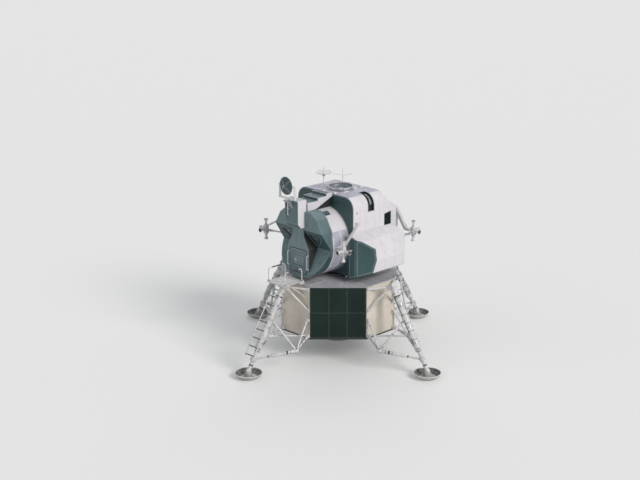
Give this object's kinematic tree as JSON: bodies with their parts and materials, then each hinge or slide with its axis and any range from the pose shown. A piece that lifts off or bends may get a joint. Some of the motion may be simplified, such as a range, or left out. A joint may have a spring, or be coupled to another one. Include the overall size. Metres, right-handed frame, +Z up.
{
  "type": "lunar lander",
  "caption": "Two-stage lunar lander: octagonal descent stage on splayed legs with dished pads, and a faceted crew cabin with hatches, thrusters and a tracking dish on top.",
  "frame": {"origin": "on the ground under the centre of the four footpads", "axes": "+Z up, -Y forward along the ladder leg, +X to port"},
  "size_m": [9.4, 9.4, 6.6],
  "materials": {
    "dark_structure": "matt",
    "deck_white": "matt",
    "bare_metal": "satin",
    "dark_green_panel": "satin",
    "cream_panel": "satin",
    "strut_white": "satin",
    "pad_metal": "satin",
    "nozzle_metal": "satin",
    "white_panel": "satin",
    "slate_panel": "satin",
    "black_panel": "matt",
    "window_glass": "clear",
    "interior_grey": "matt",
    "antenna_white": "satin",
    "thruster_grey": "satin"
  },
  "bodies": {
    "descent_stage": {"base_heat_shield": "dark_structure", "blast_deflector": "bare_metal", "descent_core": "dark_structure", "engine_mount": "bare_metal", "footpad_aft": "pad_metal", "footpad_front": "pad_metal", "footpad_port": "pad_metal", "footpad_starboard": "pad_metal", "gear_truss_aft": "strut_white", "gear_truss_front": "strut_white", "gear_truss_port": "strut_white", "gear_truss_starboard": "strut_white", "interstage_fittings": "bare_metal", "ladder": "strut_white", "leg_bay_panels": "cream_panel", "outriggers": "strut_white", "porch": "strut_white", "porch_handrails": "strut_white", "primary_strut_aft": "strut_white", "primary_strut_front": "strut_white", "primary_strut_port": "strut_white", "primary_strut_starboard": "strut_white", "quadrant_panels": "dark_green_panel", "upper_deck": "deck_white"},
    "gimbal_ring": {"gimbal_ring": "bare_metal"},
    "descent_engine": {"descent_engine": "nozzle_metal"},
    "forward_hatch": {"forward_hatch": "slate_panel"},
    "docking_hatch": {"docking_hatch": "bare_metal"},
    "radar_yoke": {"radar_yoke": "antenna_white"},
    "radar_dish": {"radar_dish": "antenna_white", "radar_feed": "bare_metal"},
    "ascent_stage": {"aft_bay": "white_panel", "ascent_engine": "nozzle_metal", "bay_struts": "strut_white", "cabin_barrel": "white_panel", "cabin_face": "slate_panel", "cabin_floor": "interior_grey", "discone_antenna": "antenna_white", "docking_collar": "bare_metal", "docking_window": "window_glass", "engine_cover": "interior_grey", "hatch_hinges": "bare_metal", "instrument_panel": "interior_grey", "midsection_shell": "white_panel", "nose_box": "slate_panel", "pressure_tanks": "bare_metal", "radar_mount": "bare_metal", "rcs_booms": "strut_white", "rcs_cluster_aft_port": "thruster_grey", "rcs_cluster_aft_starboard": "thruster_grey", "rcs_cluster_front_port": "thruster_grey", "rcs_cluster_front_starboard": "thruster_grey", "recess_bar": "bare_metal", "spine_core": "black_panel", "spine_fairing": "white_panel", "tank_bay_port": "white_panel", "tank_bay_starboard": "white_panel", "turnstile_antenna": "antenna_white", "windows": "window_glass"}
  },
  "joints": [
    {"name": "ascent_liftoff", "type": "slide", "parent": "descent_stage", "child": "ascent_stage", "axis": [0, 0, 1], "range_m": [0, 1.7]},
    {"name": "forward_hatch_swing", "type": "hinge", "parent": "ascent_stage", "child": "forward_hatch", "pos_m": [-0.418, -1.826, 3.59], "axis": [0, 0, 1], "range_deg": [0, 90]},
    {"name": "docking_hatch_swing", "type": "hinge", "parent": "ascent_stage", "child": "docking_hatch", "pos_m": [0, 0.538, 5.674], "axis": [1, 0, 0], "range_deg": [0, 80]},
    {"name": "radar_turn", "type": "hinge", "parent": "ascent_stage", "child": "radar_yoke", "pos_m": [0, -2.37, 5.85], "axis": [0, 0, 1], "range_deg": [-70, 70]},
    {"name": "radar_tilt", "type": "hinge", "parent": "radar_yoke", "child": "radar_dish", "pos_m": [0, -2.37, 6.29], "axis": [1, 0, 0], "range_deg": [-70, 60]},
    {"name": "engine_pitch", "type": "hinge", "parent": "descent_stage", "child": "gimbal_ring", "pos_m": [0, 0, 1.79], "axis": [1, 0, 0], "range_deg": [-6, 6]},
    {"name": "engine_roll", "type": "hinge", "parent": "gimbal_ring", "child": "descent_engine", "pos_m": [0, 0, 1.79], "axis": [0, 1, 0], "range_deg": [-6, 6]}
  ]
}
